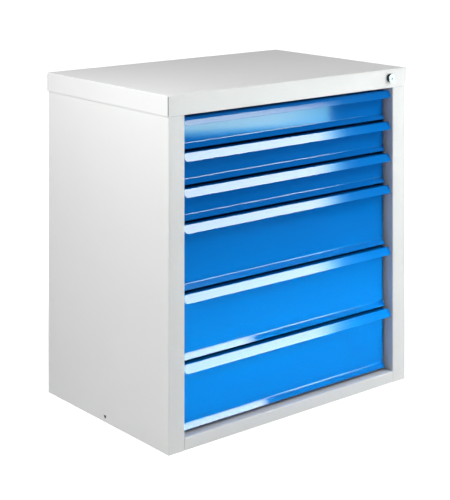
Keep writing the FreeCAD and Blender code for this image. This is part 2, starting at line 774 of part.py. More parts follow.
def lock_bar():
    """The plate that locks all drawers: an upright, a tongue for each drawer and an arm round the cam pin."""
    body = new_part("lock_bar")
    arm_top = "(pin_z + cam_pin_radius + cam_pin_play + arm_rim)"
    upright = box_corners(("bar_x", "tongue_6 - bar_foot"), ("bar_x + bar_width", arm_top))
    pad_loops(body, "XZ", "bar_y", "bar_sheet", upright)
    tongues = []
    for number in NUMBERS:
        low = ("tray_half + tongue_end", f"tongue_{number}")
        tongues.append(box_corners(low, ("bar_x + 1", f"tongue_{number} + tongue_height")))
    pad_loops(body, "XZ", "bar_y", "bar_sheet", *tongues)
    room = "(cam_pin_radius + cam_pin_play)"
    slot_low = (f"pin_x - {room}", f"pin_z - {room}")
    slot_high = (f"lock_x + cam_radius + {room}", f"pin_z + {room}")
    arm = box_corners((f"{slot_low[0]} - arm_rim", f"{slot_low[1]} - arm_rim"), ("bar_x + 1", arm_top))
    pad_loops(body, "XZ", "bar_y", "bar_sheet", arm)
    cut_loops(body, "XZ", "bar_y - 1", "bar_sheet + 2", box_corners(slot_low, slot_high))


def bar_guides():
    """Strips folded round the lock bar's upright, with both feet on the post."""
    body = new_part("bar_guides")
    foot = "post_face + post_sheet"
    front = "bar_y - bar_play"
    back = "bar_y + bar_sheet + bar_play"
    far = "bar_x + bar_width + bar_play"
    path = [
        (foot, f"{front} - guide_sheet - guide_foot"),
        (foot, f"{front} - guide_sheet"),
        (f"{far} + guide_sheet", f"{front} - guide_sheet"),
        (f"{far} + guide_sheet", f"{back} + guide_sheet"),
        (foot, f"{back} + guide_sheet"),
        (foot, f"{back} + guide_sheet + guide_foot"),
    ]
    for share in ("0", "1 / 2", "1"):
        low = f"guide_low + (opening_top - guide_high - guide_low) * {share}"
        folded(body, "XY", low, "guide_height", [path], "guide_sheet", "guide_sheet / 2", -1, True)


# ---------------------------------------------------------------- the whole cabinet

for side_name in SIDES:
    side_panel(side_name)
    for post_end in ("front", "rear"):
        slide_post(side_name, post_end)
back_panel()
base_pan()
top_cover()
top_front_rail()
for drawer_number in NUMBERS:
    drawer_front(drawer_number)
    drawer_tray(drawer_number)
    lock_catch(drawer_number)
    outer_slides(drawer_number)
    middle_slides(drawer_number)
    inner_slides(drawer_number)
lock_housing()
lock_nut()
lock_plug()
lock_cam()
cam_screw()
lock_bar()
bar_guides()

doc.recompute()
for item in doc.Objects:
    if "Invalid" in item.State or "Error" in item.State:
        raise RuntimeError(f"{item.Label} ({item.Name}): {item.State}")
    if item.TypeId == "PartDesign::Pocket" and item.Shape.Volume > item.BaseFeature.Shape.Volume - 0.01:
        raise RuntimeError(f"{item.Name} cuts nothing")
for part in PARTS:
    if part.Shape.isNull() or not part.Shape.isValid():
        raise RuntimeError(f"{part.Label}: no valid shape")

os.makedirs("parts", exist_ok=True)
for part in PARTS:
    part.Shape.exportStep(f"parts/{part.Label}.step")
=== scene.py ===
"""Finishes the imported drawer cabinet: paint, plating, rivets, slide balls, stage and camera.

The solids stay as they are. This file gives them their surfaces, and adds the small pieces that ride on
them. Every length is in metres, in the cabinet's own frame: +Z up, +X right, drawers opening towards -Y.
"""

import math

import bpy
import numpy as np
from bpy.props import (
    FloatProperty,
    FloatVectorProperty,
    IntProperty,
    PointerProperty,
)
from mathutils import Matrix, Vector


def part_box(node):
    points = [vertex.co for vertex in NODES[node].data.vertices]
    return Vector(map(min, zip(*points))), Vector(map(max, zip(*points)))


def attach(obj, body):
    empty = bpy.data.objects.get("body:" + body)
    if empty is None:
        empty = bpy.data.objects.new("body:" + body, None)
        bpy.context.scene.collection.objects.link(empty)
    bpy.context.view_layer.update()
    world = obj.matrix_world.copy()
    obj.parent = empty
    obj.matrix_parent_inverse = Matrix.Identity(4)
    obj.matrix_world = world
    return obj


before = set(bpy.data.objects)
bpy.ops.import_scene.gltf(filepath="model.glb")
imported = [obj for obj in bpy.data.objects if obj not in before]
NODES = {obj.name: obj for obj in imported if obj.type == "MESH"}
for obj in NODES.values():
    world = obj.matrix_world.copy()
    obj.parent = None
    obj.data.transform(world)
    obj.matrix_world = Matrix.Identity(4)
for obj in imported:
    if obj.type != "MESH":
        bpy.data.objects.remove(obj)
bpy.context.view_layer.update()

bl_info = {
    "name": "Drawer Cabinet Finish",
    "version": (1, 0, 0),
    "blender": (4, 5, 0),
    "location": "3D View > Sidebar > Cabinet",
    "description": "Paints and plates a drawer cabinet and adds its rivets and slide balls",
    "category": "Object",
}

DRAWERS = range(1, 7)
BODY_NODES = [
    "left_side_panel",
    "right_side_panel",
    "back_panel",
    "base_pan",
    "top_cover",
    "top_front_rail",
]
BLUE_NODES = [f"drawer_{number}_{kind}" for number in DRAWERS for kind in ("front", "tray")]
POST_NODES = [f"{side}_{place}_post" for side in ("left", "right") for place in ("front", "rear")]
SLIDE_KINDS = ("outer_slides", "middle_slides", "inner_slides")
SLIDE_NODES = [f"drawer_{number}_{kind}" for number in DRAWERS for kind in SLIDE_KINDS]
CATCH_NODES = [f"drawer_{number}_catch" for number in DRAWERS]
BAR_NODES = ["lock_bar", "bar_guides", "lock_cam", "cam_screw"]
LOCK_NODES = ["lock_housing", "lock_nut", "lock_plug"]

# Sizes of the solids that the frame's boxes don't give
SHEET = 0.0015  # thickness of the body's sheet steel
COVER_EDGE = 0.047  # height of the cover's folded edge
FOLD_HEIGHT = 0.0114  # from a front's foot up to its lower fold
PANEL_DEPTH = 0.025  # from the lips' noses back to the fronts' panels
SLIDE_RISE = 0.0325  # from a front's foot up to the middle of its slides
RETURN_FACE = 0.335  # from the middle out to the returns beside the drawers
RETURN_LINE = 0.010  # from the stiles' faces back to the rivets in the returns
BACK_LINE = 0.365  # from the middle out to the domed rivets at the back
RIVET_SINK = 0.0004  # how deep a rivet's shank goes into its sheet

# One ball row of each kind: how far out it runs, how far above the slide's middle, and where it starts
BALL_ROWS = (
    (0.3305, 0.0147, 0.015),
    (0.3295, 0.0103, -0.195),
)

# ---------------------------------------------------------------- sizes and colours a user would change


def length(name, description, default):
    """A length in metres, shown with its unit."""
    return FloatProperty(
        name=name, description=description, default=default, min=0.0, unit="LENGTH", precision=5
    )


def colour(name, description, default):
    """A linear colour."""
    return FloatVectorProperty(
        name=name, description=description, default=default, subtype="COLOR", size=3, min=0.0, max=1.0
    )


def power(name, description, default):
    """A lamp's power in watts."""
    return FloatProperty(name=name, description=description, default=default, min=0.0, unit="POWER")


def share(name, description, default):
    """A share from 0 to 1."""
    return FloatProperty(
        name=name, description=description, default=default, min=0.0, max=1.0, subtype="FACTOR"
    )


def brightness(name, description, default):
    """How bright a surface of the stage is, where 1 is white."""
    return FloatProperty(name=name, description=description, default=default, min=0.0, max=100.0)


def count(name, description, default):
    """A whole number of like pieces."""
    return IntProperty(name=name, description=description, default=default, min=1, max=40)


class CabinetPaint(bpy.types.PropertyGroup):
    """The two powder coats."""

    body: colour("Body", "Light grey of the cabinet body", (0.80, 0.81, 0.80))
    drawer: colour("Drawers", "Blue of the drawer fronts and trays", (0.0, 0.16, 0.56))
    body_roughness: share("Body roughness", "How dull the grey coat is", 0.42)
    drawer_roughness: share("Drawer roughness", "How dull the blue coat is", 0.05)
    peel: length("Peel size", "Size of the fine ripples that powder coat dries with", 0.0022)
    peel_height: length("Peel height", "Height of those ripples", 0.000012)


class CabinetPlating(bpy.types.PropertyGroup):
    """The plated steel of the slides, posts and lock."""

    zinc: colour("Zinc", "Bright zinc plate of the slides and posts", (0.62, 0.63, 0.65))
    chrome: colour("Chrome", "Chrome plate of the lock", (0.75, 0.76, 0.78))
    ball: colour("Balls", "Polished balls of the slides", (0.80, 0.80, 0.82))
    streak: length("Streak size", "Width of the rolling streaks under the zinc", 0.0008)


class CabinetRivets(bpy.types.PropertyGroup):
    """The blind rivets of the body."""

    frame_radius: length("Frame rivet radius", "Flush rivets on the folds beside the drawers", 0.003)
    frame_rise: length("Frame rivet rise", "How proud a flush rivet is", 0.00015)
    back_radius: length("Back rivet radius", "Domed rivets up the rear edges", 0.004)
    back_rise: length("Back rivet rise", "How proud a domed rivet is", 0.0014)
    first: length("Lowest rivet", "Height of the lowest rivet above the floor", 0.0585)
    pitch: length("Rivet pitch", "Height from one flush rivet to the next", 0.21367)
    count: count("Rivets per fold", "Flush rivets up each fold", 4)
    back_pitch: length("Back rivet pitch", "Height from one domed rivet to the next", 0.16025)
    back_count: count("Back rivets", "Domed rivets up each edge", 5)


class CabinetSlides(bpy.types.PropertyGroup):
    """The ball cages between the slide members."""

    ball_radius: length("Ball radius", "Radius of a slide ball", 0.0015)
    ball_pitch: length("Ball pitch", "From one ball to the next", 0.014)
    ball_count: count("Balls per row", "Balls in one row", 16)
    cage_sheet: length("Cage sheet", "Thickness of the cage strip", 0.0005)
    cage_width: length("Cage width", "Mean width of the cage strip", 0.0064)
    cage_wave: length("Cage wave", "How far each edge of the strip swings out and in", 0.0006)


class CabinetStage(bpy.types.PropertyGroup):
    """Floor, lamps and camera."""

    floor: colour("Floor", "Colour of the floor", (0.80, 0.80, 0.80))
    sky: brightness("Sky", "Brightness of the even light from all round", 0.25)
    front_lamp: power("Front lamp", "Soft lamp low on the right", 10.6)
    key_lamp: power("Key lamp", "Soft lamp over the right shoulder", 29.0)
    eye_lamp: power("Eye lamp", "Small lamp at the camera, for the gaps between the blue fronts", 8.0)
    near_side: power("Near side lamp", "Small lamp close to the left side's upper front", 13.5)
    far_side: power("Far side lamp", "Large soft lamp far to the left", 17.6)
    low_fill: power("Low fill", "Soft lamp near the floor, for the blue fronts alone", 1.6)
    card: brightness("Far card", "Brightness of the far card that the gloss shows", 34.0)
    low_card: brightness("Low card", "Brightness of the low card that the gloss shows", 25.0)


# ---------------------------------------------------------------- meshes


def ring_faces(rings, spokes):
    """Quads between rings of points: each joins a point to the next on its ring and to both beyond."""
    ring = np.arange(rings - 1)[:, None] * spokes
    spoke = np.arange(spokes)
    after = (spoke + 1) % spokes
    corners = [ring + spoke, ring + after, ring + spokes + after, ring + spokes + spoke]
    return np.stack(corners, axis=-1).reshape(-1, 4)


def turned(profile, spokes, across, along, out):
    """A solid of revolution, closed at both poles.

    A point is radius times (cos angle along the first direction, sin angle along the second), plus its
    rise along the third. The profile runs from the far pole to the near one, and its two end radii are
    nothing.
    """
    profile = np.asarray(profile, float)
    angle = np.arange(spokes) * 2 * math.pi / spokes
    circle = np.cos(angle)[:, None] * np.array(across) + np.sin(angle)[:, None] * np.array(along)
    rings = profile[1:-1, 0, None, None] * circle + profile[1:-1, 1, None, None] * np.array(out)
    poles = profile[[0, -1], 1, None] * np.array(out)
    points = np.concatenate([rings.reshape(-1, 3), poles])
    first = len(points) - 2
    spoke = np.arange(spokes)
    after = (spoke + 1) % spokes
    last = (len(profile) - 3) * spokes
    low = np.stack([after, spoke, np.full(spokes, first)], axis=-1)
    high = np.stack([last + spoke, last + after, np.full(spokes, first + 1)], axis=-1)
    faces = ring_faces(len(profile) - 2, spokes).tolist() + low.tolist() + high.tolist()
    return points, faces


def repeated(points, faces, places):
    """The same shape at each of several places: its points moved by each place, its faces counted on."""
    places = np.asarray(places, float)
    moved = (points[None] + places[:, None]).reshape(-1, 3)
    sizes = [len(face) for face in faces]
    flat = np.concatenate([np.asarray(face) for face in faces])
    shifts = np.arange(len(places)) * len(points)
    many = (flat[None] + shifts[:, None]).reshape(-1)
    cuts = np.cumsum(np.tile(sizes, len(places)))[:-1]
    return moved, [part.tolist() for part in np.split(many, cuts)]


def new_object(name, points, faces):
    """A mesh object at the origin, with its place in its mesh, in the scene."""
    mesh = bpy.data.meshes.new(name)
    mesh.from_pydata(points.tolist(), [], faces)
    made = bpy.data.objects.new(name, mesh)
    bpy.context.scene.collection.objects.link(made)
    return made


def add_piece(name, points, faces, material, body, smooth=True):
    """Makes a piece in place, gives it its material and lets it ride on a body."""
    piece = new_object(name, points, faces)
    mesh = piece.data
    mesh.materials.append(material)
    mesh.polygons.foreach_set("use_smooth", np.full(len(mesh.polygons), smooth))
    mesh.validate()
    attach(piece, body)
    return piece


# ---------------------------------------------------------------- nodes


def add_node(tree, kind, **settings):
    """A node with its settings, given by name."""
    node = tree.nodes.new(kind)
    for name, setting in settings.items():
        setattr(node, name, setting)
    return node


def feed(tree, given, socket):
    """Gives an input what it needs: a socket is linked to it, and a value is set on it."""
    if isinstance(given, bpy.types.NodeSocket):
        tree.links.new(given, socket)
    else:
        socket.default_value = given


def math_node(tree, operation, *given):
    """A math node. Each of its inputs is a number or a socket."""
    node = add_node(tree, "ShaderNodeMath", operation=operation)
    for part, socket in zip(given, node.inputs):
        feed(tree, part, socket)
    return node.outputs[0]


def vector_node(tree, operation, *given, output="Vector"):
    """A vector math node. Each of its inputs is a vector or a socket."""
    node = add_node(tree, "ShaderNodeVectorMath", operation=operation)
    for part, socket in zip(given, node.inputs):
        feed(tree, part, socket)
    return node.outputs[output]


def gained(tree, tone, gain):
    """A colour times a gain."""
    node = add_node(tree, "ShaderNodeVectorMath", operation="SCALE")
    feed(tree, tone, node.inputs[0])
    feed(tree, gain, node.inputs["Scale"])
    return node.outputs[0]


def coordinates(tree, vector):
    """A vector's parts, by their names X, Y and Z."""
    node = add_node(tree, "ShaderNodeSeparateXYZ")
    tree.links.new(vector, node.inputs[0])
    return node.outputs


def noise(tree, vector, scale, detail=1.0, roughness=0.5):
    """Noise over a vector, from 0 to 1. The scale is a number or a socket."""
    node = add_node(tree, "ShaderNodeTexNoise")
    settings = {"Vector": vector, "Scale": scale, "Detail": detail, "Roughness": roughness}
    for name, given in settings.items():
        feed(tree, given, node.inputs[name])
    return node.outputs["Fac"]


def fade(tree, value, start, end, low, high, step="SMOOTHSTEP"):
    """Low up to the start and high from the end on. Between them it's a smooth step, or a LINEAR one."""
    node = add_node(tree, "ShaderNodeMapRange", interpolation_type=step)
    tree.links.new(value, node.inputs["Value"])
    settings = {"From Min": start, "From Max": end, "To Min": low, "To Max": high}
    for name, setting in settings.items():
        node.inputs[name].default_value = setting
    return node.outputs["Result"]


def rays(tree):
    """Whether a camera sees the surface, and whether gloss or glass does."""
    path = add_node(tree, "ShaderNodeLightPath")
    mirrored = math_node(
        tree, "MAXIMUM", path.outputs["Is Glossy Ray"], path.outputs["Is Transmission Ray"]
    )
    return path.outputs["Is Camera Ray"], mirrored


# ---------------------------------------------------------------- shared surface effects


def new_group(name, inputs, outputs):
    """An empty shader node group with named sockets, and its two end nodes."""
    group = bpy.data.node_groups.new(name, "ShaderNodeTree")
    for label, kind, default in inputs:
        socket = group.interface.new_socket(label, in_out="INPUT", socket_type=kind)
        socket.default_value = default
    for label, kind in outputs:
        group.interface.new_socket(label, in_out="OUTPUT", socket_type=kind)
    return group, group.nodes.new("NodeGroupInput"), group.nodes.new("NodeGroupOutput")


SURFACE_OUTPUTS = [
    ("Colour", "NodeSocketColor"),
    ("Roughness", "NodeSocketFloat"),
    ("Height", "NodeSocketFloat"),
]


def coat_group():
    """Powder coat: fine ripples, long faint waves in the sheet, and slightly uneven shade and gloss."""
    inputs = [
        ("Vector", "NodeSocketVector", (0, 0, 0)),
        ("Colour", "NodeSocketColor", (0.8, 0.8, 0.8, 1)),
        ("Mottle", "NodeSocketFloat", 0.02),
        ("Roughness", "NodeSocketFloat", 0.3),
        ("Unevenness", "NodeSocketFloat", 0.04),
        ("Peel Scale", "NodeSocketFloat", 450.0),
        ("Wave", "NodeSocketFloat", 0.5),
    ]
    cloud_share = 0.55
    speck_share = 0.45
    grain_share = 0.25
    group, given, made = new_group("powder_coat_surface", inputs, SURFACE_OUTPUTS)
    given = given.outputs
    vector = given["Vector"]
    fine = noise(group, vector, given["Peel Scale"], detail=2.0, roughness=0.6)
    grain = noise(group, vector, scale=1700.0)
    waves = noise(group, vector, scale=14.0)
    cloud = noise(group, vector, scale=6.0, detail=4.0, roughness=0.6)
    speck = noise(group, vector, scale=260.0, detail=3.0, roughness=0.7)
    clouded = math_node(group, "MULTIPLY", cloud, cloud_share)
    uneven = math_node(group, "ADD", clouded, math_node(group, "MULTIPLY", speck, speck_share))
    signed = math_node(group, "SUBTRACT", uneven, 0.5)
    gain = math_node(group, "MULTIPLY_ADD", signed, given["Mottle"], 1.0)
    signed_cloud = math_node(group, "SUBTRACT", cloud, 0.5)
    dull = math_node(group, "MULTIPLY_ADD", signed_cloud, given["Unevenness"], given["Roughness"])
    ripples = math_node(group, "MULTIPLY_ADD", grain, grain_share, fine)
    height = math_node(group, "MULTIPLY_ADD", waves, given["Wave"], ripples)
    group.links.new(gained(group, given["Colour"], gain), made.inputs["Colour"])
    group.links.new(dull, made.inputs["Roughness"])
    group.links.new(height, made.inputs["Height"])
    return group


def plate_group():
    """Plated steel: rolling streaks along one direction, soft cloudy patches and tiny pits."""
    inputs = [
        ("Vector", "NodeSocketVector", (0, 0, 0)),
        ("Colour", "NodeSocketColor", (0.6, 0.6, 0.6, 1)),
        ("Streak Scale", "NodeSocketFloat", 1200.0),
        ("Patches", "NodeSocketFloat", 0.12),
        ("Roughness", "NodeSocketFloat", 0.3),
        ("Unevenness", "NodeSocketFloat", 0.15),
    ]
    rolled = (1.0, 0.03, 1.0)
    streak_share = 0.5
    patch_share = 0.5
    pit_share = 0.3
    group, given, made = new_group("plated_steel_surface", inputs, SURFACE_OUTPUTS)
    given = given.outputs
    vector = given["Vector"]
    stretched = vector_node(group, "MULTIPLY", vector, rolled)
    streaks = noise(group, stretched, given["Streak Scale"], detail=2.0, roughness=0.6)
    patches = noise(group, vector, scale=55.0, detail=3.0, roughness=0.55)
    pits = noise(group, vector, scale=900.0)
    patched = math_node(group, "MULTIPLY", patches, patch_share)
    both = math_node(group, "MULTIPLY_ADD", streaks, streak_share, patched)
    signed = math_node(group, "SUBTRACT", both, 0.5)
    gain = math_node(group, "MULTIPLY_ADD", signed, given["Patches"], 1.0)
    dull = math_node(group, "MULTIPLY_ADD", signed, given["Unevenness"], given["Roughness"])
    height = math_node(group, "MULTIPLY_ADD", pits, pit_share, streaks)
    group.links.new(gained(group, given["Colour"], gain), made.inputs["Colour"])
    group.links.new(dull, made.inputs["Roughness"])
    group.links.new(height, made.inputs["Height"])
    return group


def fold_group():
    """The folds of the drawer fronts: a crisp line above each lower fold, and a twist in the lowest two.

    Above each fold the height falls as the lip's own slope does, over the width of the line. Below the
    folds of the two lowest fronts it falls gently with height, and more towards the right.
    """
    twisted_fronts = (5, 6)
    lip_slope = 0.685
    line_width = 0.0016
    twist_slope = 0.1
    twist_start = -0.16
    flange_middle = 0.0051
    flange_reach = 0.0043
    panel_reach = 0.0003
    group, given, made = new_group(
        "front_folds", [("Vector", "NodeSocketVector", (0, 0, 0))], [("Height", "NodeSocketFloat")]
    )
    place = coordinates(group, given.outputs["Vector"])
    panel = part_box("drawer_1_front")[0].y + PANEL_DEPTH
    on_panel = math_node(group, "COMPARE", place["Y"], panel, panel_reach)
    on_flange = math_node(group, "COMPARE", place["Y"], panel - flange_middle, flange_reach)
    twist = fade(group, place["X"], start=twist_start, end=0.0, low=0.0, high=1.0)
    lines = 0.0
    twisted = 0.0
    for number in DRAWERS:
        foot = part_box(f"drawer_{number}_front")[0].z
        fold = foot + FOLD_HEIGHT
        fall = -lip_slope * line_width
        line = fade(group, place["Z"], fold, fold + line_width, 0.0, fall, step="LINEAR")
        lines = math_node(group, "ADD", line, lines)
        if number in twisted_fronts:
            fall = -twist_slope * FOLD_HEIGHT
            flange = fade(group, place["Z"], foot, fold, 0.0, fall, step="LINEAR")
            twisted = math_node(group, "ADD", flange, twisted)
    lines = math_node(group, "MULTIPLY", lines, on_panel)
    twisted = math_node(group, "MULTIPLY", math_node(group, "MULTIPLY", twisted, twist), on_flange)
    group.links.new(math_node(group, "ADD", lines, twisted), made.inputs["Height"])
    return group


def box_group():
    """One inside an upright box, given by its middle and half its size, and nothing outside it."""
    inputs = [
        ("Vector", "NodeSocketVector", (0, 0, 0)),
        ("Middle", "NodeSocketVector", (0, 0, 0)),
        ("Reach", "NodeSocketVector", (1, 1, 1)),
    ]
    group, given, made = new_group("inside_box", inputs, [("Mask", "NodeSocketFloat")])
    away = vector_node(group, "SUBTRACT", given.outputs["Vector"], given.outputs["Middle"])
    away = vector_node(group, "ABSOLUTE", away)
    away = vector_node(group, "SUBTRACT", away, given.outputs["Reach"])
    past = coordinates(group, away)
    most = math_node(group, "MAXIMUM", math_node(group, "MAXIMUM", past["X"], past["Y"]), past["Z"])
    group.links.new(math_node(group, "LESS_THAN", most, 0.0), made.inputs["Mask"])
    return group


GROUPS = {
    "powder_coat_surface": coat_group,
    "plated_steel_surface": plate_group,
    "front_folds": fold_group,
    "inside_box": box_group,
}


def add_group(tree, name, vector):
    """A shared node group in a tree, fed with a vector. It's built the first time it is asked for."""
    group = bpy.data.node_groups.get(name) or GROUPS[name]()
    node = add_node(tree, "ShaderNodeGroup", node_tree=group)
    tree.links.new(vector, node.inputs["Vector"])
    return node


# ---------------------------------------------------------------- materials


def new_finish(name, surface, depth, metallic=0.0, specular=0.5, **given):
    """A material that takes its colour, roughness and bumps from a shared surface with these values."""
    material = bpy.data.materials.new(name)
    material.use_nodes = True
    tree = material.node_tree
    add_node(tree, "ShaderNodeTexCoord", name="place")
    tree, shader, vector = ends(material)
    shader.inputs["Metallic"].default_value = metallic
    shader.inputs["Specular IOR Level"].default_value = specular
    node = add_group(tree, surface, vector)
    for label, setting in given.items():
        node.inputs[label.replace("_", " ")].default_value = setting
    bump = add_node(tree, "ShaderNodeBump", name="ripples")
    bump.inputs["Distance"].default_value = depth
    bump.inputs["Strength"].default_value = 1.0
    tree.links.new(node.outputs["Height"], bump.inputs["Height"])
    tree.links.new(bump.outputs["Normal"], shader.inputs["Normal"])
    tree.links.new(node.outputs["Roughness"], shader.inputs["Roughness"])
    tree.links.new(node.outputs["Colour"], shader.inputs["Base Color"])
    return material


def ends(material):
    """A finish's node tree, its Principled shader and its Object coordinates."""
    tree = material.node_tree
    return tree, tree.nodes["Principled BSDF"], tree.nodes["place"].outputs["Object"]


def darken(material, boxes):
    """Darkens a finish inside boxes, each a middle, half its size and how much of the colour stays."""
    tree, shader, vector = ends(material)
    base = shader.inputs["Base Color"]
    for middle, reach, stays in boxes:
        inside = add_group(tree, "inside_box", vector)
        inside.inputs["Middle"].default_value = middle
        inside.inputs["Reach"].default_value = reach
        kept = math_node(tree, "MULTIPLY_ADD", inside.outputs["Mask"], stays - 1.0, 1.0)
        tree.links.new(gained(tree, base.links[0].from_socket, kept), base)


def crease(material):
    """Lays the drawer fronts' fold lines under a finish's own ripples."""
    tree, _, vector = ends(material)
    folds = add_group(tree, "front_folds", vector)
    bump = add_node(tree, "ShaderNodeBump")
    bump.inputs["Distance"].default_value = 1.0
    tree.links.new(folds.outputs["Height"], bump.inputs["Height"])
    tree.links.new(bump.outputs["Normal"], tree.nodes["ripples"].inputs["Normal"])


def give(material, names):
    """Puts one material on each of these CAD nodes."""
    for name in names:
        NODES[name].data.materials.clear()
        NODES[name].data.materials.append(material)


def opaque(rgb):
    """A colour with its alpha."""
    return (rgb[0], rgb[1], rgb[2], 1.0)


# ---------------------------------------------------------------- finishes


def painted_body_shade():
    """Painted shade on the body, where shade falls: the cover's corner seams, the joint under it and the
    anchor holes.

    Each is the middle of a box, half its size and how much of the colour stays there.
    """
    low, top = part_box("top_cover")
    middle = (low.x + top.x) / 2
    foot = top.z - COVER_EDGE
    seam_size = (1.6 * SHEET, 0.9 * SHEET, COVER_EDGE / 2 - SHEET)
    # painted shade in the open seams at the cover's front corners
    seams = [
        ((side, low.y + 1.2 * SHEET, foot + (COVER_EDGE - SHEET) / 2), seam_size, 0.12)
        for side in (low.x, top.x)
    ]
    # painted shade along the joint under the cover's folded edge
    joint = ((middle, low.y + 1.4 * SHEET, foot - 0.0004), (top.x, 0.9 * SHEET, 0.0005), 0.45)
    # painted shade round the anchor holes, so that they show dark
    holes = ((middle, 0.004, 0.013), (top.x - 2.4 * SHEET, 0.012, 0.006), 0.02)
    return seams + [joint, holes]


def lock_slot_shade_and_dark_barrel():
    """Painted shade in the lock's key slot, and the lock's barrel darkened to a near-black finish, as
    boxes like the body's.
    """
    low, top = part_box("lock_plug")
    x = (low.x + top.x) / 2
    z = (low.z + top.z) / 2
    # painted shade inside the key slot
    key_slot = ((x, low.y + 0.0032, z), (0.0014, 0.003, 0.0045), 0.02)
    # the barrel's own near-black finish behind the chrome face
    barrel = ((x, low.y + 0.0052, z), (0.02, 0.0042, 0.02), 0.06)
    return [key_slot, barrel]


class CABINET_OT_paint_body(bpy.types.Operator):
    """Powder-coat the sheet-metal body in light grey"""

    bl_idname = "cabinet.paint_body"
    bl_label = "Paint Body"

    def execute(self, context):
        paint = context.scene.cabinet_paint
        material = new_finish(
            "grey_powder_coat",
            "powder_coat_surface",
            depth=paint.peel_height,
            specular=0.3,
            Colour=opaque(paint.body),
            Mottle=0.06,
            Roughness=paint.body_roughness,
            Unevenness=0.05,
            Peel_Scale=1 / paint.peel,
            Wave=6.0,
        )
        # painted shade: the grey coat darkened in the cover's seams, along the joint under it and round
        # the anchor holes
        darken(material, painted_body_shade())
        give(material, BODY_NODES)
        return {"FINISHED"}


class CABINET_OT_paint_drawers(bpy.types.Operator):
    """Powder-coat the drawer fronts and trays in glossy blue"""

    bl_idname = "cabinet.paint_drawers"
    bl_label = "Paint Drawers"

    def execute(self, context):
        paint = context.scene.cabinet_paint
        material = new_finish(
            "blue_powder_coat",
            "powder_coat_surface",
            depth=paint.peel_height * 0.2,
            specular=0.2,
            Colour=opaque(paint.drawer),
            Mottle=0.05,
            Roughness=paint.drawer_roughness,
            Unevenness=0.04,
            Peel_Scale=0.5 / paint.peel,
            Wave=3.0,
        )
        crease(material)
        give(material, BLUE_NODES)
        return {"FINISHED"}


class CABINET_OT_plate_steel(bpy.types.Operator):
    """Zinc-plate the posts, slides, catches, lock bar and cam"""

    bl_idname = "cabinet.plate_steel"
    bl_label = "Plate Steel"

    def execute(self, context):
        plating = context.scene.cabinet_plating
        material = new_finish(
            "bright_zinc",
            "plated_steel_surface",
            depth=0.000004,
            metallic=1.0,
            Colour=opaque(plating.zinc),
            Streak_Scale=1 / plating.streak,
            Patches=0.35,
            Roughness=0.34,
            Unevenness=0.25,
        )
        give(material, POST_NODES + SLIDE_NODES + CATCH_NODES + BAR_NODES)
        return {"FINISHED"}


class CABINET_OT_plate_lock(bpy.types.Operator):
    """Chrome-plate the lock"""

    bl_idname = "cabinet.plate_lock"
    bl_label = "Plate Lock"

    def execute(self, context):
        plating = context.scene.cabinet_plating
        material = new_finish(
            "lock_chrome",
            "plated_steel_surface",
            depth=0.000002,
            metallic=1.0,
            Colour=opaque(plating.chrome),
            Streak_Scale=2500.0,
            Patches=0.08,
            Roughness=0.15,
            Unevenness=0.08,
        )
        # painted shade in the key slot, and the barrel darkened to its near-black finish
        darken(material, lock_slot_shade_and_dark_barrel())
        give(material, LOCK_NODES)
        return {"FINISHED"}


# ---------------------------------------------------------------- small pieces


def rivet_profile(radius, rise):
    """A rivet head seen in section: an underside below the sheet, a rounded rim, a dome and its dimple.

    Out to the rim the rise is that of a flattened arc: one minus the fourth power of the radius's share.
    Within the dimple it's lower by a quarter of the rise, and by up to half of it more as a cosine.
    """
    rim = 0.36
    rim_fall = 0.25
    dimple_fall = 0.5
    middle_fall = 0.05
    shares = np.array([1.0, 0.97, 0.88, 0.72, 0.52, 0.36, 0.28, 0.16])
    height = rise * (1 - shares**4)
    cosine = (1 + np.cos(math.pi * shares / rim)) / 2
    dimple = np.where(shares < rim, dimple_fall * rise * cosine + rim_fall * rise, 0)
    head = np.stack([radius * shares, height - dimple], axis=-1)
    middle = [[0.0, head[-1, 1] - middle_fall * rise]]
    return np.concatenate([[[0.0, -RIVET_SINK]], [[radius, -RIVET_SINK]], head, middle])


class CABINET_OT_add_rivets(bpy.types.Operator):
    """Set the flush rivets beside the drawers and the domed ones up the rear edges"""

    bl_idname = "cabinet.add_rivets"
    bl_label = "Add Rivets"

    def execute(self, context):
        rivets = context.scene.cabinet_rivets
        plating = context.scene.cabinet_plating
        material = new_finish(
            "rivet_steel",
            "plated_steel_surface",
            depth=0.000004,
            metallic=0.4,
            Colour=opaque(plating.ball),
            Streak_Scale=1800.0,
            Patches=0.2,
            Roughness=0.45,
            Unevenness=0.2,
        )
        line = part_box("left_side_panel")[0].y + RETURN_LINE
        heights = rivets.first + rivets.pitch * np.arange(rivets.count)
        profile = rivet_profile(rivets.frame_radius, rivets.frame_rise)
        for side, name in ((-1, "left"), (1, "right")):
            points, faces = turned(
                profile, spokes=20, across=(0, 1, 0), along=(0, 0, -side), out=(-side, 0, 0)
            )
            places = [(side * RETURN_FACE, line, height) for height in heights]
            points, faces = repeated(points, faces, places)
            add_piece(f"{name}_frame_rivets", points, faces, material, "cabinet")
        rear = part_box("left_side_panel")[1].y
        heights = rivets.first + rivets.back_pitch * np.arange(rivets.back_count)
        profile = rivet_profile(rivets.back_radius, rivets.back_rise)
        points, faces = turned(profile, spokes=24, across=(-1, 0, 0), along=(0, 0, 1), out=(0, 1, 0))
        places = [(side * BACK_LINE, rear, height) for side in (-1, 1) for height in heights]
        points, faces = repeated(points, faces, places)
        add_piece("back_rivets", points, faces, material, "cabinet")
        return {"FINISHED"}


def ball_rows(number):
    """Where the eight ball rows of a drawer's slides start, four on each side.

    Two rows of a side run between the fixed and the middle member, and two between the middle and the
    inner member.
    """
    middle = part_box(f"drawer_{number}_front")[0].z + SLIDE_RISE
    return [
        (side * out, start, middle + sign * rise)
        for side in (-1, 1)
        for out, rise, start in BALL_ROWS
        for sign in (1, -1)
    ]


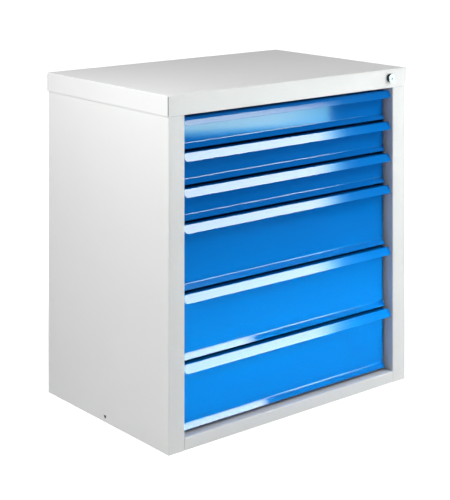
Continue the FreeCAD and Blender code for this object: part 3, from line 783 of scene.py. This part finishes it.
def cage_strip(run, pitch, width, wave, steps):
    """A flat strip along Y that is wider at each ball.

    To either side, a point lies out by half the width plus the wave times the cosine of two pi times its
    distance along over the pitch. The strip runs half a pitch beyond its first and last ball.
    """
    along = np.linspace(-pitch / 2, run + pitch / 2, steps)
    half = width / 2 + wave * np.cos(2 * math.pi * along / pitch)
    flat = np.zeros(steps)
    edges = [np.stack([side * half, along, flat], axis=-1) for side in (-1, 1)]
    points = np.stack(edges, axis=1).reshape(-1, 3)
    first = np.arange(steps - 1) * 2
    faces = np.stack([first, first + 1, first + 3, first + 2], axis=-1).tolist()
    return points, faces


class CABINET_OT_add_slide_balls(bpy.types.Operator):
    """Set the balls and their cages between the slide members"""

    bl_idname = "cabinet.add_slide_balls"
    bl_label = "Add Slide Balls"

    def execute(self, context):
        slides = context.scene.cabinet_slides
        plating = context.scene.cabinet_plating
        finishes = []
        for name, tone, dull in (("ball_steel", plating.ball, 0.12), ("cage_steel", plating.zinc, 0.36)):
            material = new_finish(
                name,
                "plated_steel_surface",
                depth=0.000003,
                metallic=1.0,
                Colour=opaque(tone),
                Streak_Scale=1500.0,
                Patches=0.12,
                Roughness=dull,
                Unevenness=0.1,
            )
            finishes.append(material)
        ball_steel, cage_steel = finishes
        turns = np.linspace(math.pi, 0.0, num=6)
        section = slides.ball_radius * np.stack([np.sin(turns), np.cos(turns)], axis=-1)
        ball, ball_faces = turned(section, spokes=8, across=(1, 0, 0), along=(0, 1, 0), out=(0, 0, 1))
        steps = np.arange(slides.ball_count) * slides.ball_pitch
        strip = cage_strip(
            run=(slides.ball_count - 1) * slides.ball_pitch,
            pitch=slides.ball_pitch,
            width=slides.cage_width,
            wave=slides.cage_wave,
            steps=8 * slides.ball_count + 1,
        )
        for number in DRAWERS:
            rows = ball_rows(number)
            centres = [(out, start + step, height) for out, start, height in rows for step in steps]
            points, faces = repeated(ball, ball_faces, centres)
            body = f"drawer_{number}_middle"
            add_piece(f"drawer_{number}_balls", points, faces, ball_steel, body)
            points, faces = repeated(*strip, rows)
            name = f"drawer_{number}_ball_cages"
            cages = add_piece(name, points, faces, cage_steel, body, smooth=False)
            sheet = cages.modifiers.new("sheet", "SOLIDIFY")
            sheet.thickness = slides.cage_sheet
            sheet.offset = 0.0
        return {"FINISHED"}


# ---------------------------------------------------------------- stage


class CABINET_OT_build_stage(bpy.types.Operator):
    """Lay the floor, hang the lamps and set the camera"""

    bl_idname = "cabinet.build_stage"
    bl_label = "Build Stage"

    def execute(self, context):
        stage = context.scene.cabinet_stage
        lay_floor(stage)
        light_sky(stage)
        hang_lamps(stage)
        stand_far_card(stage)
        stand_low_card(stage)
        place_camera()
        context.scene.view_settings.view_transform = "Standard"
        return {"FINISHED"}


def bare_material(mesh, name):
    """An empty node material on a mesh: its tree and its output's surface socket."""
    material = bpy.data.materials.new(name)
    material.use_nodes = True
    tree = material.node_tree
    tree.nodes.clear()
    mesh.materials.append(material)
    return tree, add_node(tree, "ShaderNodeOutputMaterial").inputs["Surface"]


def lay_floor(stage):
    """A wide flat floor at height nothing, which a camera sees as white outside the shadow.

    It glows to a camera alone, less near the cabinet and not under it. Gloss and glass see a dim floor.
    """
    half_side = 14.0
    under_cabinet = (0.372, 0.24, 0.1)
    shown_by_gloss = 0.08
    corners = half_side * np.array([[-1, -1, 0], [1, -1, 0], [1, 1, 0], [-1, 1, 0]])
    floor = new_object("floor", corners, [[0, 1, 2, 3]])
    tree, surface = bare_material(floor.data, "floor_white")
    camera, mirrored = rays(tree)
    place = add_node(tree, "ShaderNodeTexCoord").outputs["Object"]
    reach = vector_node(tree, "LENGTH", place, output="Value")
    white = fade(tree, reach, start=0.55, end=1.4, low=0.6, high=1.0)
    under = add_group(tree, "inside_box", place)
    under.inputs["Reach"].default_value = under_cabinet
    open_floor = math_node(tree, "SUBTRACT", 1.0, under.outputs["Mask"])
    seen = math_node(tree, "MULTIPLY", camera, math_node(tree, "MULTIPLY", white, open_floor))
    dim = fade(tree, reach, start=1.0, end=1.7, low=0.2, high=0.04)
    seen = math_node(tree, "MULTIPLY_ADD", mirrored, dim, seen)
    paler = math_node(tree, "MULTIPLY_ADD", mirrored, shown_by_gloss - 1.0, 1.0)
    flat = add_node(tree, "ShaderNodeBsdfDiffuse")
    tree.links.new(gained(tree, stage.floor, paler), flat.inputs["Color"])
    glow = add_node(tree, "ShaderNodeEmission")
    tree.links.new(seen, glow.inputs["Strength"])
    both = add_node(tree, "ShaderNodeAddShader")
    tree.links.new(flat.outputs[0], both.inputs[0])
    tree.links.new(glow.outputs[0], both.inputs[1])
    tree.links.new(both.outputs[0], surface)


def light_sky(stage):
    """An even sky, white to a camera. Gloss and glass see its white wall darken to a dim ceiling."""
    world = bpy.data.worlds.new("studio")
    world.use_nodes = True
    tree = world.node_tree
    sky = tree.nodes["Background"]
    sky.inputs["Color"].default_value = (1, 1, 1, 1)
    camera, mirrored = rays(tree)
    direction = add_node(tree, "ShaderNodeTexCoord").outputs["Generated"]
    height = coordinates(tree, direction)["Z"]
    wall = fade(tree, height, start=0.2, end=0.45, low=1.0, high=0.12)
    lit = math_node(tree, "SUBTRACT", 1.0, math_node(tree, "MAXIMUM", mirrored, camera))
    seen = math_node(tree, "MULTIPLY_ADD", mirrored, wall, camera)
    tree.links.new(math_node(tree, "MULTIPLY_ADD", lit, stage.sky, seen), sky.inputs["Strength"])
    bpy.context.scene.world = world


def hang_lamps(stage):
    """The six soft lamps. Two light the blue pieces alone, and two leave out the right side panel."""
    blue = ("INCLUDE", BLUE_NODES)
    left = ("EXCLUDE", ["right_side_panel"])
    # name, place, target, width, height, power, and what it lights where that isn't everything
    lamps = [
        ("front_lamp", (1.3, -1.7, 0.48), (0.1, -0.24, 0.4), 0.9, 0.8, stage.front_lamp, None),
        ("key_lamp", (1.595, -1.648, 2.086), (0.0, -0.25, 0.45), 0.75, 0.9, stage.key_lamp, None),
        ("eye_lamp", (-2.25, -2.72, 1.27), (0.0, -0.25, 0.4), 0.2, 0.2, stage.eye_lamp, blue),
        ("near_side_lamp", (-1.3, -0.28, 1.5), (-0.38, -0.15, 0.75), 0.4, 0.4, stage.near_side, left),
        ("far_side_lamp", (-3.4, 0.9, 1.3), (-0.38, 0.0, 0.4), 2.0, 2.0, stage.far_side, left),
        ("low_fill", (0.2, -1.9, 0.17), (0.13, -0.22, 0.17), 1.3, 0.1, stage.low_fill, blue),
    ]
    for name, place, target, wide, high, power, lit in lamps:
        lamp = hang_lamp(name, place, target, wide, high, power)
        if lit:
            keep_light(lamp, *lit)
    fill = bpy.data.lights["low_fill"]
    fill.spread = math.radians(25)
    fill.color = (0.95, 1.0, 0.8)


def hang_lamp(name, place, target, wide, high, power):
    """A soft rectangular lamp at a place, turned towards a target."""
    data = bpy.data.lights.new(name, "AREA")
    data.shape = "RECTANGLE"
    data.size = wide
    data.size_y = high
    data.energy = power
    lamp = bpy.data.objects.new(name, data)
    bpy.context.scene.collection.objects.link(lamp)
    aim = Vector(target) - Vector(place)
    lamp.matrix_world = Matrix.Translation(place) @ aim.to_track_quat("-Z", "Y").to_matrix().to_4x4()
    lamp.visible_camera = False
    lamp.visible_glossy = False
    return lamp


def keep_light(lamp, state, names):
    """Keeps a lamp's light to the CAD nodes of these names with INCLUDE, or off them with EXCLUDE."""
    lit = bpy.data.collections.new(f"{lamp.name}_lights")
    lamp.light_linking.receiver_collection = lit
    for name in names:
        lit.objects.link(NODES[name])
    for linked in lit.collection_objects:
        linked.light_linking.link_state = state


def stand_far_card(stage):
    """A bright card far off over the right shoulder, with a dimmer strip along its top.

    It's so far off that only its direction counts. Its sides are shares of its distance, along its own
    width and height from its middle. To the right of that it fades.
    """
    distance = 60.0
    middle = np.array([40.7777, -27.8415, 35.0417])
    wide = np.array([0.7249, 0.2829, -0.6282])
    high = np.array([0.1113, 0.8518, 0.5120])
    left = -0.16
    right = 0.12
    fade_start = -0.013
    fade_end = 0.011
    levels = [-0.135, 0.052, 0.068]
    strength = (1.0, 0.55)
    names = ("far_card", "far_card_fade")
    for name, low, top, part in zip(names, levels, levels[1:], strength):
        outline = distance * np.array([[left, low], [right, low], [right, top], [left, top]])
        corners = middle + outline[:, :1] * wide + outline[:, 1:] * high
        tree, place, glow = stand_card(name, corners)
        across = vector_node(tree, "DOT_PRODUCT", place, wide / distance, output="Value")
        edge = float(middle @ wide) / distance
        bright = fade(tree, across, edge + fade_start, edge + fade_end, low=1.0, high=0.05)
        tint(tree, glow, bright, (0.92, 1.0, 0.85))
        glow.inputs["Strength"].default_value = part * stage.card


def stand_low_card(stage):
    """A bright card low at the front right.

    It starts above a slanted soft edge, grows dimmer to the right, and is whiter and brighter above.
    """
    left = 1.27
    right = 2.4155
    front = -2.6
    low = 0.08
    top = 0.54
    corners = [[left, front, low], [right, front, low], [right, front, top], [left, front, top]]
    slant = 0.065
    bright_above = 3.1
    tree, place, glow = stand_card("low_card", np.array(corners))
    place = coordinates(tree, place)
    rise = math_node(tree, "MULTIPLY_ADD", place["X"], slant, place["Z"])
    started = fade(tree, rise, start=0.235, end=0.29, low=0.0, high=1.0)
    dimmed = fade(tree, place["X"], start=2.0, end=2.5, low=1.0, high=0.6)
    bright = math_node(tree, "MULTIPLY", started, dimmed)
    red = fade(tree, place["Z"], start=0.26, end=0.34, low=0.64, high=0.95)
    tint(tree, glow, bright, (red, 1.0, 0.95))
    above = bright_above * stage.low_card
    level = fade(tree, place["Z"], start=0.26, end=0.34, low=stage.low_card, high=above)
    tree.links.new(level, glow.inputs["Strength"])


def tint(tree, glow, bright, tone):
    """Turns a brightness into a colour that grows bluer as it fades.

    Red goes with the brightness's square, green with itself and blue with its 0.6th power.
    """
    mixed = add_node(tree, "ShaderNodeCombineColor")
    for socket, exponent, part in zip(mixed.inputs, (2.0, 1.0, 0.6), tone):
        channel = math_node(tree, "MULTIPLY", math_node(tree, "POWER", bright, exponent), part)
        tree.links.new(channel, socket)
    tree.links.new(mixed.outputs[0], glow.inputs["Color"])


def stand_card(name, corners):
    """A flat glowing card that only gloss sees: its tree, its Object coordinates and its glow."""
    card = new_object(name, corners, [[0, 1, 2, 3]])
    tree, surface = bare_material(card.data, name)
    glow = add_node(tree, "ShaderNodeEmission")
    tree.links.new(glow.outputs[0], surface)
    place = add_node(tree, "ShaderNodeTexCoord")
    card.visible_camera = False
    card.visible_diffuse = False
    card.visible_shadow = False
    return tree, place.outputs["Object"], glow


def place_camera():
    """A camera with an upright image plane, so that the cabinet's upright edges stay upright.

    The camera looks level and is sheared downwards on its stand: the stand's three directions are the
    view's right, the world's up and the slanted line from the view's middle to the lens. The view's
    height, its plane's distance, and its middle's drop below the lens and distance are in pixels.
    """
    view_height = 500
    to_plane = 1374.9
    below_lens = 363.3
    to_middle = 1422.1
    turn = math.radians(39.391)
    right = Vector((math.cos(turn), -math.sin(turn), 0))
    level = Vector((math.sin(turn), math.cos(turn), 0))
    up = Vector((0, 0, 1))
    back = -(level * to_plane - up * below_lens) / to_middle
    data = bpy.data.cameras.new("camera")
    data.sensor_width = 36.0
    data.sensor_fit = "AUTO"
    data.lens = to_middle / view_height * data.sensor_width
    camera = bpy.data.objects.new("camera", data)
    stand = bpy.data.objects.new("camera_stand", None)
    stand.location = (-2.2209, -2.6845, 1.2642)
    for piece in (stand, camera):
        bpy.context.scene.collection.objects.link(piece)
    camera.parent = stand
    camera.matrix_parent_inverse = Matrix((right, up, back)).transposed().to_4x4()
    bpy.context.scene.camera = camera


# ---------------------------------------------------------------- add-on


class CABINET_PT_finish(bpy.types.Panel):
    """The list of steps, in their order"""

    bl_label = "Drawer Cabinet"
    bl_idname = "CABINET_PT_finish"
    bl_space_type = "VIEW_3D"
    bl_region_type = "UI"
    bl_category = "Cabinet"

    def draw(self, context):
        for step in STEPS:
            self.layout.operator(step.bl_idname)
        for group in SETTINGS:
            box = self.layout.box()
            for name in SETTINGS[group].__annotations__:
                box.prop(getattr(context.scene, group), name)


SETTINGS = {
    "cabinet_paint": CabinetPaint,
    "cabinet_plating": CabinetPlating,
    "cabinet_rivets": CabinetRivets,
    "cabinet_slides": CabinetSlides,
    "cabinet_stage": CabinetStage,
}
STEPS = [
    CABINET_OT_paint_body,
    CABINET_OT_paint_drawers,
    CABINET_OT_plate_steel,
    CABINET_OT_plate_lock,
    CABINET_OT_add_rivets,
    CABINET_OT_add_slide_balls,
    CABINET_OT_build_stage,
]


def register():
    """Adds the settings, the steps and the panel."""
    for name, group in SETTINGS.items():
        bpy.utils.register_class(group)
        setattr(bpy.types.Scene, name, PointerProperty(type=group))
    for step in STEPS + [CABINET_PT_finish]:
        bpy.utils.register_class(step)


def unregister():
    """Takes them away again."""
    for step in [CABINET_PT_finish] + STEPS[::-1]:
        bpy.utils.unregister_class(step)
    for name, group in SETTINGS.items():
        delattr(bpy.types.Scene, name)
        bpy.utils.unregister_class(group)


def main():
    register()
    for step in STEPS:
        family, name = step.bl_idname.split(".")
        getattr(getattr(bpy.ops, family), name)()


if __name__ == "__main__":
    main()
